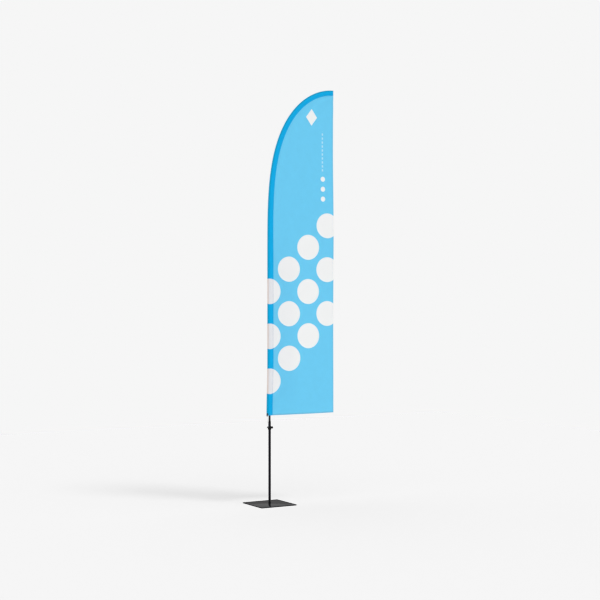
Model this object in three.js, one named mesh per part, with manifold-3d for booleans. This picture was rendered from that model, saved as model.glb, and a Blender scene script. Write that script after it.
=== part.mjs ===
// A feather flag on a flat base. The pole plugs together from four sections, stands on a spindle
// that turns in a ball bearing on the base plate, and bends over at the top, where it holds the
// flag's sleeve out. A clamp on the pole pulls the flag down through an elastic cord.
// Millimetres, +Z up, +X from the pole towards the flag's free edge. The origin is the centre of
// the base plate's underside, on the axis that the flag turns about.
import * as THREE from "three";
import { mergeVertices } from "three/addons/utils/BufferGeometryUtils.js";
import Module from "manifold-3d";

const wasm = await Module();
wasm.setup();

// ---- Driving dimensions ----

// Clearances between neighbours
const seatGap = 0.15; // a turned piece in the seat it is pressed, glued or screwed into
const faceGap = 0.2; // two faces that meet end on
const clothGap = 0.3; // cloth and what it touches

// Base plate
const plateSide = 400;
const plateThickness = 5;
const plateCornerRadius = 5;

// Threaded stud, welded on the plate
const studRadius = 6;
const studHeight = 10;
const studWeld = 2;
const studChamfer = 0.8;

// Ball bearing
const bearingBore = 5; // radii from here on, unless a name says otherwise
const bearingRadius = 9.5;
const bearingWidth = 5;
const raceThickness = 1.4;
const ballSeat = 0.35; // how deep the balls sit in each race
const ballCount = 9;
const ballPlay = 0.1;
const cageThickness = 0.8;
const cageHeight = 1.4;

// Bearing housing, screwed on the stud
const housingWall = 2.5;
const reliefMargin = 2; // round the spindle's end, below the bearing
const reliefHeight = 3;
const housingLip = 1;
const spannerFlatDepth = 1.25;
const spannerFlatHeight = 6;

// Retaining clips of the bearing
const clipThickness = 1;
const clipDepth = 0.6; // how far a clip sits in its groove
const clipOpening = 0.6; // half the angle left open, in radians
const housingClipWidth = 1.6;
const spindleClipWidth = 1.9;

// Spindle
const shoulderWidth = 1.3; // the spindle's shoulder on the bearing's inner ring
const spindleFlangeHeight = 4;
const flangeClearance = 0.7; // between the turning flange and the housing
const pinRadius = 7;
const pinHeight = 160;
const pinChamfer = 1.5;
const gripRingThickness = 0.75;
const gripRingGroove = 1.1; // groove depth, and half its width
const gripRingHeights = [35, 130]; // above the flange

// Foot socket, glued in the lowest pole section
const socketPlay = 0.5; // radial, taken up by the rubber rings
const socketLength = 170;
const socketRimHeight = 4;
const socketRimOverhang = 0.5;

// Pole, measured along its own line from the plate's underside
const poleRadius = 10;
const tipRadius = 3;
const poleWall = 1.5;
const firstJoint = 1160; // height of the joint over the straight lowest section
const secondJoint = 2290;
const thirdJoint = 3420;
const jointInsert = 90; // how deep a joint reaches into each section
const ferruleLength = 45;
const ferruleWall = 1.2;
const ferruleSetback = 2;

// How the pole bends: straight up to bendStart, then leaning more and more towards the tip
const bendStart = 2450;
const bendLength = 2110; // along the pole, to the flag's free edge
const tipLean = Math.PI / 2;
const bendPower = 2.72;

// Tip cap
const capRadius = 4.4;
const capLength = 22;
const capNose = 4;
const capClearance = 2; // left before the closed end of the sleeve

// Flag: sleeve, panel and end patch
const flagBottom = 893;
const sleeveWall = 1;
const sleeveSlack = 3; // between the pole and the outside of the sleeve
const foldOffset = 26; // from the pole's line to the folded outer edge
const foldHalfThickness = 1.2;
const seamOffsetLow = 44; // from the pole's line to the seam, on the straight part
const seamOffsetTip = 27;
const seamWidth = 10;
const seamHalfThickness = 1;
const tailSwing = 10; // how far the cord pulls the flag's lower end back
const tailSwingHeight = 560; // over what height it does
const panelThickness = 1;
const patchThickness = 3;

// Webbing tab and eyelet at the flag's lower corner
const tabWidth = 16;
const tabHeight = 30;
const tabOverhang = 8; // how far it hangs below the flag's lower end
const tabThickness = 3;
const tabInset = 2; // how far its outer side stands in from the sleeve's fold
const tabCornerRadius = 2;
const eyeletBore = 2.6;
const eyeletWall = 1.2;
const eyeletFlange = 1.4;
const eyeletFlangeThickness = 0.7;
const eyeletHeight = 11; // above the tab's lower end

// Clamp collar on the pole
const collarDrop = 103; // from the tab's lower end down to the collar
const collarHeight = 30;
const collarPlay = 0.2;
const collarWall = 4.8;
const collarChamfer = 1.5;
const screwHeight = 19; // above the collar's lower end
const bossRadius = 6.5;
const bossLength = 4;
const lugReach = 8; // how far the cord's lug stands out of the collar
const lugHeight = 13;
const lugThickness = 6;
const lugHoleRadius = 2.2;
const lugHoleHeight = 22; // above the collar's lower end

// Thumb screw and the threaded insert it turns in
const screwRadius = 2.5;
const insertWall = 1.5;
const insertLength = 6.5;
const screwTipGap = 0.35; // between the screw and the pole
const knobRadius = 8.2;
const knobLobe = 0.7;
const knobLobes = 6;
const knobLength = 14;
const knobGap = 1;
const knobBoreDepth = 10;

// Elastic cord from the eyelet to the lug
const cordRadius = 1.5;
const cordBend = 6; // radius of its bend out of a hole
const cordTail = 4; // how far it stands out behind a hole
const cordSides = 8;
const cordSteps = 48;
const knotRadius = 3.4;

// Facets
const wideFacets = 32;
const poleFacets = 24;
const smallFacets = 16;
const tipFacets = 12;
const bendStations = 36;
const stationSpread = 0.6; // below 1 the stations lie closer together towards the tip
const tailStations = 5;

// ---- Sizes that follow ----

const studTop = plateThickness + studHeight;
const bearingBottom = studTop + reliefHeight;
const bearingTop = bearingBottom + bearingWidth;
const bearingMiddle = bearingBottom + bearingWidth / 2;
const ballPitch = (bearingBore + bearingRadius) / 2;
const ballRadius = ballPitch - bearingBore - raceThickness + ballSeat;
const housingRadius = bearingRadius + housingWall;
const reliefRadius = bearingBore + reliefMargin;
const spindleShoulder = bearingBore + shoulderWidth;
const clipGap = seatGap / 2;
const housingClipBottom = bearingTop + clipGap * 2;
const housingTop = housingClipBottom + clipThickness + clipGap + housingLip;
const spindleClipTop = bearingBottom - faceGap;
const spindleBottom = spindleClipTop - clipThickness - 4 * clipGap - 0.3;
const flangeBottom = housingTop + flangeClearance;
const flangeTop = flangeBottom + spindleFlangeHeight;
const pinTop = flangeTop + pinHeight;

const socketBottom = flangeTop + faceGap;
const socketRimTop = socketBottom + socketRimHeight;
const socketBore = pinRadius + socketPlay;
const poleFoot = socketRimTop + faceGap;
const poleBore = poleRadius - poleWall;

const flagEnd = bendStart + bendLength;
const sleeveEnd = flagEnd - patchThickness - clothGap;
const capEnd = sleeveEnd - capClearance;
const poleEnd = capEnd - capNose;
const poleJoints = [firstJoint, secondJoint, thirdJoint];

const tabBottom = flagBottom - tabOverhang;
const tabTop = tabBottom + tabHeight;
const tabOuter = -(foldOffset + tailSwing) + tabInset;
const eyeletX = tabOuter + tabWidth / 2;
const eyeletZ = tabBottom + eyeletHeight;
const eyeletRadius = eyeletBore + eyeletWall;

const collarBottom = tabBottom - collarDrop - collarHeight;
const collarBore = poleRadius + collarPlay;
const collarRadius = collarBore + collarWall;
const screwZ = collarBottom + screwHeight;
const bossEnd = collarRadius + bossLength;
const lugEnd = collarRadius + lugReach;
const lugHoleX = -(lugEnd - lugHoleRadius - 2);
const lugHoleZ = collarBottom + lugHoleHeight;

// ---- Materials ----

function material(color, roughness, metalness) {
  return new THREE.MeshStandardMaterial({ color, roughness, metalness });
}

const blackPowderCoat = { color: 0x1c1c1e, roughness: 0.35, metalness: 0 };
const brightSteel = { color: 0xb9bcc0, roughness: 0.25, metalness: 1 };
const springSteel = { color: 0x3a3a3c, roughness: 0.4, metalness: 1 };
const blackenedSteel = { color: 0x222224, roughness: 0.35, metalness: 1 };
const blackAnodised = { color: 0x141415, roughness: 0.35, metalness: 0.6 };
const blackComposite = { color: 0x161617, roughness: 0.45, metalness: 0 };
const blackPlastic = { color: 0x18181a, roughness: 0.5, metalness: 0 };
const blackRubber = { color: 0x101010, roughness: 0.8, metalness: 0 };
const brass = { color: 0xb08d3f, roughness: 0.3, metalness: 1 };
const blackenedBrass = { color: 0x1c1b1a, roughness: 0.4, metalness: 1 };
const sleeveCloth = { color: 0x18a8e6, roughness: 0.85, metalness: 0 };
const panelCloth = { color: 0x69ccf6, roughness: 0.85, metalness: 0 };
const blackWebbing = { color: 0x1a1a1c, roughness: 0.9, metalness: 0 };
const greyElastic = { color: 0xd6d8da, roughness: 0.8, metalness: 0 };

const flag = new THREE.Group();

// Adds one named piece to a group.
function piece(name, geometry, look, group = flag) {
  const mesh = new THREE.Mesh(geometry, material(look.color, look.roughness, look.metalness));
  mesh.name = name;
  group.add(mesh);
  return mesh;
}

// ---- Shape helpers ----

// A profile of [radius, height] pairs turned about the Z axis.
function turned(profile, facets) {
  const points = profile.map(([radius, height]) => new THREE.Vector2(radius, height));
  return new THREE.LatheGeometry(points, facets).rotateX(Math.PI / 2);
}

// A ring or tube about the Z axis.
function tube(inner, outer, bottom, top, facets) {
  return turned(
    [
      [inner, bottom],
      [outer, bottom],
      [outer, top],
      [inner, top],
      [inner, bottom],
    ],
    facets,
  );
}

// A plain rod about the Z axis.
function rod(radius, bottom, top, facets) {
  return new THREE.CylinderGeometry(radius, radius, top - bottom, facets)
    .rotateX(Math.PI / 2)
    .translate(0, 0, (bottom + top) / 2);
}

function box(x, y, z) {
  const geometry = new THREE.BoxGeometry(x[1] - x[0], y[1] - y[0], z[1] - z[0]);
  return geometry.translate((x[0] + x[1]) / 2, (y[0] + y[1]) / 2, (z[0] + z[1]) / 2);
}

function solidOf(geometry) {
  const bare = geometry.clone();
  bare.deleteAttribute("normal");
  bare.deleteAttribute("uv");
  const merged = mergeVertices(bare, 1e-4);
  const mesh = new wasm.Mesh({
    numProp: 3,
    vertProperties: new Float32Array(merged.attributes.position.array),
    triVerts: new Uint32Array(merged.index.array),
  });
  return new wasm.Manifold(mesh);
}

function geometryOf(solid) {
  const mesh = solid.getMesh();
  const geometry = new THREE.BufferGeometry();
  geometry.setAttribute("position", new THREE.BufferAttribute(mesh.vertProperties, 3));
  geometry.setIndex(new THREE.BufferAttribute(mesh.triVerts, 1));
  geometry.computeVertexNormals();
  return geometry;
}

function joined(first, ...others) {
  const add = (solid, geometry) => solid.add(solidOf(geometry));
  return geometryOf(others.reduce(add, solidOf(first)));
}

function cut(first, ...tools) {
  const subtract = (solid, geometry) => solid.subtract(solidOf(geometry));
  return geometryOf(tools.reduce(subtract, solidOf(first)));
}

function roundedRectangle(width, height, radius) {
  const shape = new THREE.Shape();
  const right = width / 2 - radius;
  const top = height / 2 - radius;
  shape.absarc(right, top, radius, 0, Math.PI / 2);
  shape.absarc(-right, top, radius, Math.PI / 2, Math.PI);
  shape.absarc(-right, -top, radius, Math.PI, 1.5 * Math.PI);
  shape.absarc(right, -top, radius, 1.5 * Math.PI, 2 * Math.PI);
  return shape;
}

// ---- The line of the pole ----

// How far the pole leans from upright at a length s along it.
function poleLean(s) {
  const share = Math.max(0, s - bendStart) / bendLength;
  return tipLean * share ** bendPower;
}

// Where the pole's line is at a length s along it.
function polePoint(s) {
  const slices = 64;
  const bentLength = Math.max(0, s - bendStart);
  const slice = bentLength / slices;
  const point = { x: 0, z: s - bentLength };
  for (let i = 0; i < slices; i += 1) {
    const lean = poleLean(bendStart + (i + 0.5) * slice);
    point.x += slice * Math.sin(lean);
    point.z += slice * Math.cos(lean);
  }
  return point;
}

// The stations along the bend. Between two of them every bent piece runs straight, so that pieces
// that lie in or beside each other keep their gaps wherever they begin and end.
const bendGrid = [];
for (let i = 0; i <= bendStations; i += 1) {
  bendGrid.push(bendStart + bendLength * (i / bendStations) ** stationSpread);
}
const bendLine = bendGrid.map((s) => ({ s, lean: poleLean(s), ...polePoint(s) }));

// A point beside the pole's line, on the flag's side where across is positive.
function besidePole(s, across) {
  if (s <= bendStart) return { x: across, z: s };
  const next = Math.max(1, bendLine.findIndex((station) => station.s >= s));
  const beside = ({ x, z, lean }) => ({
    x: x + across * Math.cos(lean),
    z: z - across * Math.sin(lean),
  });
  const from = beside(bendLine[next - 1]);
  const to = beside(bendLine[next]);
  const share = (s - bendLine[next - 1].s) / (bendLine[next].s - bendLine[next - 1].s);
  return { x: from.x + (to.x - from.x) * share, z: from.z + (to.z - from.z) * share };
}

// Turns a piece that was made upright, with s as its height, into one that follows the pole.
function bent(geometry) {
  const position = geometry.attributes.position;
  for (let i = 0; i < position.count; i += 1) {
    const { x, z } = besidePole(position.getZ(i), position.getX(i));
    position.setX(i, x);
    position.setZ(i, z);
  }
  geometry.computeVertexNormals();
  return geometry;
}

// Stations for the flag's lower end, which the cord pulls back.
const tailGrid = [];
for (let i = 1; i <= tailStations; i += 1) {
  tailGrid.push(flagBottom + (tailSwingHeight * i) / tailStations);
}

// Where a piece has its facets: its two ends and the stations between them.
function stations(from, to, grid = bendGrid) {
  const least = 2; // no station nearer to an end than this
  return [from, ...grid.filter((s) => s > from + least && s < to - least), to];
}

// The pole's outside radius: one size up to the first joint, and then tapering to the tip.
function outsideRadius(s) {
  const share = Math.max(0, s - firstJoint) / (poleEnd - firstJoint);
  return poleRadius + (tipRadius - poleRadius) * share;
}

function boreRadius(s) {
  return outsideRadius(s) - poleWall;
}

// A tube or rod that follows the pole, between two radii that are functions of s.
function poleTube(from, to, inside, outside, facets = poleFacets) {
  const along = stations(from, to);
  const profile = along.map((s) => [outside(s), s]);
  profile.push(...along.reverse().map((s) => [inside(s), s]));
  profile.push(profile[0]);
  return bent(turned(profile, facets));
}

// ---- Base: plate, stud, housing and bearing ----

function basePlate() {
  const outline = roundedRectangle(plateSide, plateSide, plateCornerRadius);
  return new THREE.ExtrudeGeometry(outline, {
    depth: plateThickness,
    bevelEnabled: false,
    curveSegments: 6,
  });
}

function baseStud() {
  return turned(
    [
      [0, plateThickness],
      [studRadius + studWeld, plateThickness],
      [studRadius, plateThickness + studWeld],
      [studRadius, studTop - studChamfer],
      [studRadius - studChamfer, studTop],
      [0, studTop],
    ],
    smallFacets * 2,
  );
}

function bearingHousing() {
  const thread = studRadius + seatGap;
  const seat = bearingRadius + seatGap;
  const groove = bearingRadius + clipDepth + clipGap;
  const grooveBottom = housingClipBottom - clipGap;
  const grooveTop = housingClipBottom + clipThickness + clipGap;
  const body = turned(
    [
      [thread + studWeld + seatGap, plateThickness],
      [housingRadius, plateThickness],
      [housingRadius, housingTop],
      [seat, housingTop],
      [seat, grooveTop],
      [groove, grooveTop],
      [groove, grooveBottom],
      [seat, grooveBottom],
      [seat, bearingBottom],
      [reliefRadius, bearingBottom],
      [reliefRadius, studTop],
      [thread, studTop],
      [thread, plateThickness + studWeld + seatGap],
      [thread + studWeld + seatGap, plateThickness],
    ],
    wideFacets,
  );
  const flatBottom = plateThickness + studWeld;
  const flatBox = (side) =>
    box(
      [-housingRadius, housingRadius],
      [side, side + Math.sign(side) * housingRadius].sort((a, b) => a - b),
      [flatBottom, flatBottom + spannerFlatHeight],
    );
  const flat = housingRadius - spannerFlatDepth;
  return cut(body, flatBox(flat), flatBox(-flat));
}

// A bearing ring between two radii. The balls run in a groove in the face on their side.
function bearingRing(inner, outer, grooveSide) {
  const face = grooveSide === "inside" ? inner : outer;
  const reach = Math.abs(face - ballPitch);
  const grooveRadius = ballRadius + ballPlay;
  const halfOpening = Math.acos(reach / grooveRadius);
  const grooveSteps = 4;
  const groove = [];
  for (let i = 0; i <= grooveSteps; i += 1) {
    const angle = halfOpening * (1 - (2 * i) / grooveSteps);
    const out = grooveRadius * Math.cos(angle) * (grooveSide === "inside" ? 1 : -1);
    groove.push([ballPitch + out, bearingMiddle + grooveRadius * Math.sin(angle)]);
  }
  const insideGroove = grooveSide === "inside" ? groove : [];
  const outsideGroove = grooveSide === "inside" ? [] : groove.reverse();
  return turned(
    [
      [inner, bearingBottom],
      [outer, bearingBottom],
      ...outsideGroove,
      [outer, bearingTop],
      [inner, bearingTop],
      ...insideGroove,
      [inner, bearingBottom],
    ],
    wideFacets,
  );
}

function ballCage() {
  const ring = tube(
    ballPitch - cageThickness / 2,
    ballPitch + cageThickness / 2,
    bearingMiddle - cageHeight / 2,
    bearingMiddle + cageHeight / 2,
    wideFacets,
  );
  const balls = [];
  for (let i = 0; i < ballCount; i += 1) {
    const angle = (2 * Math.PI * i) / ballCount;
    const x = ballPitch * Math.cos(angle);
    const y = ballPitch * Math.sin(angle);
    balls.push(new THREE.SphereGeometry(ballRadius, 8, 6).translate(x, y, bearingMiddle));
  }
  return joined(ring, ...balls);
}

// A flat spring clip that is open at one side.
function springClip(inner, outer, bottom) {
  const outline = new THREE.Shape();
  outline.absarc(0, 0, outer, clipOpening, 2 * Math.PI - clipOpening, false);
  outline.absarc(0, 0, inner, 2 * Math.PI - clipOpening, clipOpening, true);
  const settings = { depth: clipThickness, bevelEnabled: false, curveSegments: 12 };
  return new THREE.ExtrudeGeometry(outline, settings).translate(0, 0, bottom);
}

function buildBase() {
  piece("base_plate", basePlate(), blackPowderCoat);
  piece("base_stud", baseStud(), brightSteel);
  piece("bearing_housing", bearingHousing(), blackPowderCoat);
  const outerRing = bearingRing(bearingRadius - raceThickness, bearingRadius, "inside");
  piece("bearing_outer_ring", outerRing, brightSteel);
  piece("ball_cage", ballCage(), brightSteel);
  const clipOuter = bearingRadius + clipDepth;
  const clip = springClip(clipOuter - housingClipWidth, clipOuter, housingClipBottom);
  piece("housing_circlip", clip, springSteel);
}

// ---- Spindle ----

function spindleBody() {
  const journal = bearingBore - seatGap;
  const clipGroove = journal - clipDepth;
  const clipBottom = spindleClipTop - clipThickness;
  const profile = [
    [0, spindleBottom],
    [journal, spindleBottom],
    [journal, clipBottom - clipGap],
    [clipGroove, clipBottom - clipGap],
    [clipGroove, spindleClipTop + clipGap],
    [journal, spindleClipTop + clipGap],
    [journal, bearingTop + clipGap],
    [spindleShoulder, bearingTop + clipGap],
    [spindleShoulder, flangeBottom],
    [housingRadius, flangeBottom],
    [housingRadius, flangeTop],
    [pinRadius, flangeTop],
  ];
  for (const height of gripRingHeights) {
    const middle = flangeTop + height;
    profile.push([pinRadius, middle - gripRingGroove]);
    profile.push([pinRadius - gripRingGroove, middle - gripRingGroove]);
    profile.push([pinRadius - gripRingGroove, middle + gripRingGroove]);
    profile.push([pinRadius, middle + gripRingGroove]);
  }
  profile.push([pinRadius, pinTop - pinChamfer], [pinRadius - pinChamfer, pinTop], [0, pinTop]);
  return turned(profile, wideFacets);
}

function gripRing(height) {
  const clearance = 0.05;
  const middle = pinRadius - gripRingGroove + clearance + gripRingThickness;
  const ring = new THREE.TorusGeometry(middle, gripRingThickness, 6, poleFacets);
  return ring.translate(0, 0, flangeTop + height);
}

function buildSpindle() {
  const innerRing = bearingRing(bearingBore, bearingBore + raceThickness, "outside");
  piece("bearing_inner_ring", innerRing, brightSteel);
  const clipInner = bearingBore - seatGap - clipDepth + clipGap;
  const clip = springClip(clipInner, clipInner + spindleClipWidth, spindleClipTop - clipThickness);
  piece("spindle_circlip", clip, springSteel);
  piece("spindle", spindleBody(), blackenedSteel);
  gripRingHeights.forEach((height, i) => {
    piece(`spindle_grip_ring_${i + 1}`, gripRing(height), blackRubber);
  });
}

// ---- Pole ----

function footSocket() {
  const sleeve = poleBore - seatGap;
  const rim = poleRadius + socketRimOverhang;
  return turned(
    [
      [socketBore, socketBottom],
      [rim, socketBottom],
      [rim, socketRimTop],
      [sleeve, socketRimTop],
      [sleeve, socketBottom + socketLength],
      [socketBore, socketBottom + socketLength],
      [socketBore, socketBottom],
    ],
    wideFacets,
  );
}

// The joint rod is glued in the upper section and slides in the lower one.
function jointRod(joint) {
  const along = stations(joint - jointInsert, joint + jointInsert);
  const profile = along.map((s) => [boreRadius(s) - seatGap, s]);
  const ends = [
    [0, along[0]],
    [0, along[along.length - 1]],
  ];
  return bent(turned([ends[0], ...profile, ends[1]], poleFacets));
}

// The ferrule keeps the upper end of a section from splitting.
function ferrule(joint) {
  const inside = (s) => outsideRadius(s) + seatGap;
  const outside = (s) => inside(s) + ferruleWall;
  const top = joint - ferruleSetback;
  return poleTube(top - ferruleLength, top, inside, outside);
}

// The last section is a solid rod that plugs straight into the tube below it.
function tipSection() {
  const start = thirdJoint + faceGap;
  const plug = stations(thirdJoint - jointInsert, start).map((s) => [boreRadius(s) - seatGap, s]);
  const shaft = stations(start, poleEnd).map((s) => [outsideRadius(s), s]);
  return bent(turned([[0, plug[0][1]], ...plug, ...shaft, [0, poleEnd]], tipFacets));
}

function tipCap() {
  const bore = outsideRadius(capEnd - capLength) + seatGap;
  const noseSteps = 4;
  const profile = [
    [bore, capEnd - capLength],
    [capRadius, capEnd - capLength],
  ];
  for (let i = 0; i <= noseSteps; i += 1) {
    const angle = (Math.PI / 2) * (i / noseSteps);
    const height = poleEnd + faceGap + (capNose - faceGap) * Math.sin(angle);
    profile.push([capRadius * Math.cos(angle), height]);
  }
  profile[profile.length - 1][0] = 0;
  profile.push([0, poleEnd + faceGap], [bore, poleEnd + faceGap], profile[0]);
  return bent(turned(profile, tipFacets));
}

function buildPole() {
  piece("foot_socket", footSocket(), blackPlastic);
  const starts = [poleFoot, ...poleJoints.map((joint) => joint + faceGap)];
  poleJoints.forEach((joint, i) => {
    const section = poleTube(starts[i], joint, boreRadius, outsideRadius);
    piece(`pole_section_${i + 1}`, section, i < 2 ? blackAnodised : blackComposite);
    piece(`pole_ferrule_${i + 1}`, ferrule(joint), blackAnodised);
  });
  piece("joint_rod_1", jointRod(firstJoint), blackAnodised);
  piece("joint_rod_2", jointRod(secondJoint), blackAnodised);
  piece("pole_section_4", tipSection(), blackComposite);
  piece("pole_tip_cap", tipCap(), blackPlastic);
}

// ---- Flag ----

// How far the cord pulls the flag's lower end back at a height s.
function tailShift(s) {
  const share = Math.min(1, Math.max(0, 1 - (s - flagBottom) / tailSwingHeight));
  return -tailSwing * share * share * (3 - 2 * share);
}

// Where the seam between sleeve and panel lies beside the pole.
function seamOffset(s) {
  const share = Math.max(0, s - bendStart) / bendLength;
  return seamOffsetLow + (seamOffsetTip - seamOffsetLow) * share + tailShift(s);
}

// The sleeve's section: cloth drawn tight round the pole from the folded edge to the seam.
// The points are for the straight pole, with the pole's centre at 0, 0.
function sleeveOutline(round, fold, foldHalf, seam, seamHalf) {
  const towardSeam = Math.acos(round / seam);
  const towardFold = Math.PI - Math.acos(round / fold);
  const points = [
    [seam, -seamHalf],
    [seam, seamHalf],
  ];
  const arcSteps = 3;
  for (let i = 0; i <= arcSteps; i += 1) {
    const angle = towardSeam + ((towardFold - towardSeam) * i) / arcSteps;
    points.push([round * Math.cos(angle), round * Math.sin(angle)]);
  }
  points.push([-fold, foldHalf], [-fold, -foldHalf]);
  for (let i = arcSteps; i >= 0; i -= 1) {
    const angle = towardSeam + ((towardFold - towardSeam) * i) / arcSteps;
    points.push([round * Math.cos(angle), -round * Math.sin(angle)]);
  }
  return points.map(([x, y]) => new THREE.Vector2(x, y));
}

const sleeveRound = poleRadius + sleeveSlack;
const sleeveOutside = sleeveOutline(
  sleeveRound,
  foldOffset,
  foldHalfThickness,
  seamOffsetLow,
  seamHalfThickness,
);
const sleeveInside = sleeveOutline(
  sleeveRound - sleeveWall,
  foldOffset - 2 * sleeveWall,
  foldHalfThickness / 2,
  seamOffsetLow - seamWidth,
  seamHalfThickness / 2,
);

// Moves a point of the section to where it is at the length s: the round part shrinks with the
// pole, and the fold and the seam keep their own lines.
function sleeveAt(x, y, s) {
  if (x > sleeveRound) return [x + seamOffset(s) - seamOffsetLow, y];
  if (x < -sleeveRound) return [x + tailShift(s), y];
  const shrink = (outsideRadius(s) + sleeveSlack) / sleeveRound;
  return [x * shrink, y * shrink];
}

// Sweeps a section along the pole, through the given stations.
function swept(section, along) {
  const settings = { depth: along.length - 1, steps: along.length - 1, bevelEnabled: false };
  const geometry = new THREE.ExtrudeGeometry(section, settings);
  const position = geometry.attributes.position;
  for (let i = 0; i < position.count; i += 1) {
    const s = along[Math.round(position.getZ(i))];
    position.setXYZ(i, ...sleeveAt(position.getX(i), position.getY(i), s), s);
  }
  return bent(geometry);
}

function flagSleeve() {
  const section = new THREE.Shape(sleeveOutside);
  section.holes.push(new THREE.Path(sleeveInside));
  const sleeve = swept(section, stations(flagBottom, sleeveEnd, [...tailGrid, ...bendGrid]));
  const notchSide = tabOuter + tabWidth + clothGap;
  const notch = box(
    [notchSide - 2 * foldOffset, notchSide],
    [-foldOffset, foldOffset],
    [tabBottom - clothGap, tabTop + clothGap],
  );
  return cut(sleeve, notch);
}

function endPatch() {
  const outline = new THREE.Shape(sleeveOutside);
  return swept(outline, [flagEnd - patchThickness, flagEnd]);
}

// The panel fills the space between the seam, the free edge and the bottom edge.
function flagPanel() {
  const along = stations(flagBottom, flagEnd, [...tailGrid, ...bendGrid]);
  const seam = along.map((s) => besidePole(s, seamOffset(s) + clothGap));
  const freeEdge = seam[seam.length - 1].x;
  const outline = new THREE.Shape();
  outline.moveTo(freeEdge, flagBottom);
  for (const point of seam.reverse()) outline.lineTo(point.x, point.z);
  const settings = { depth: panelThickness, bevelEnabled: false };
  return new THREE.ExtrudeGeometry(outline, settings)
    .rotateX(Math.PI / 2)
    .translate(0, panelThickness / 2, 0);
}

function cornerTab() {
  const outline = roundedRectangle(tabWidth, tabHeight, tabCornerRadius);
  const hole = new THREE.Path();
  const drop = eyeletHeight - tabHeight / 2;
  hole.absarc(0, drop, eyeletRadius + seatGap, 0, 2 * Math.PI, true);
  outline.holes.push(hole);
  const settings = { depth: tabThickness, bevelEnabled: false, curveSegments: 6 };
  return new THREE.ExtrudeGeometry(outline, settings)
    .rotateX(Math.PI / 2)
    .translate(tabOuter + tabWidth / 2, tabThickness / 2, tabBottom + tabHeight / 2);
}

function cornerEyelet() {
  const half = tabThickness / 2 + seatGap;
  const flange = eyeletRadius + eyeletFlange;
  const end = half + eyeletFlangeThickness;
  const profile = [
    [eyeletBore, -end],
    [flange, -end],
    [flange, -half],
    [eyeletRadius, -half],
    [eyeletRadius, half],
    [flange, half],
    [flange, end],
    [eyeletBore, end],
    [eyeletBore, -end],
  ];
  return turned(profile, smallFacets).rotateX(Math.PI / 2).translate(eyeletX, 0, eyeletZ);
}

function buildFlag() {
  piece("flag_sleeve", flagSleeve(), sleeveCloth);
  piece("sleeve_end_patch", endPatch(), sleeveCloth);
  piece("flag_panel", flagPanel(), panelCloth);
  piece("corner_tab", cornerTab(), blackWebbing);
  piece("corner_eyelet", cornerEyelet(), blackenedBrass);
}

// ---- Clamp collar and thumb screw ----

// Turns a piece made about the Z axis so that it lies along +X at the screw's height.
function alongScrew(geometry) {
  return geometry.rotateY(Math.PI / 2).translate(0, 0, screwZ);
}

function clampCollar() {
  const top = collarBottom + collarHeight;
  const ring = turned(
    [
      [collarBore, collarBottom],
      [collarRadius - collarChamfer, collarBottom],
      [collarRadius, collarBottom + collarChamfer],
      [collarRadius, top - collarChamfer],
      [collarRadius - collarChamfer, top],
      [collarBore, top],
      [collarBore, collarBottom],
    ],
    poleFacets,
  );
  const wallMiddle = (collarBore + collarRadius) / 2;
  const boss = alongScrew(rod(bossRadius, wallMiddle, bossEnd, smallFacets));
  const lug = box(
    [-lugEnd, -wallMiddle],
    [-lugThickness / 2, lugThickness / 2],
    [lugHoleZ - lugHeight / 2, lugHoleZ + lugHeight / 2],
  );
  const insertHole = rod(
    screwRadius + insertWall + 2 * seatGap,
    bossEnd - insertLength - seatGap,
    bossEnd + 1,
    smallFacets,
  );
  const screwHole = rod(screwRadius + 2 * seatGap, 0, bossEnd, smallFacets);
  const cordHole = rod(lugHoleRadius, -lugThickness, lugThickness, smallFacets)
    .rotateX(Math.PI / 2)
    .translate(lugHoleX, 0, lugHoleZ);
  const whole = joined(ring, boss, lug);
  return cut(whole, alongScrew(insertHole), alongScrew(screwHole), cordHole);
}

function thumbKnob() {
  const outline = new THREE.Shape();
  const points = knobLobes * 6;
  for (let i = 0; i < points; i += 1) {
    const angle = (2 * Math.PI * i) / points;
    const radius = knobRadius + knobLobe * Math.cos(knobLobes * angle);
    const x = radius * Math.cos(angle);
    const y = radius * Math.sin(angle);
    if (i === 0) outline.moveTo(x, y);
    else outline.lineTo(x, y);
  }
  const start = bossEnd + knobGap;
  const settings = { depth: knobLength, bevelEnabled: false };
  const body = new THREE.ExtrudeGeometry(outline, settings).translate(0, 0, start);
  const bore = rod(screwRadius + seatGap, start - 1, start + knobBoreDepth, smallFacets);
  return alongScrew(cut(body, bore));
}

function buildClamp() {
  piece("clamp_collar", clampCollar(), blackPlastic);
  const insertInner = screwRadius + seatGap;
  const insertOuter = screwRadius + insertWall + seatGap;
  const insert = tube(insertInner, insertOuter, bossEnd - insertLength, bossEnd, smallFacets);
  piece("clamp_insert", alongScrew(insert), brass);
  const screwStart = poleRadius + screwTipGap;
  const screwEnd = bossEnd + knobGap + knobBoreDepth - faceGap;
  piece("thumb_stud", alongScrew(rod(screwRadius, screwStart, screwEnd, smallFacets)), brightSteel);
  piece("thumb_knob", thumbKnob(), blackPlastic);
}

// ---- Elastic cord ----

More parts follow.
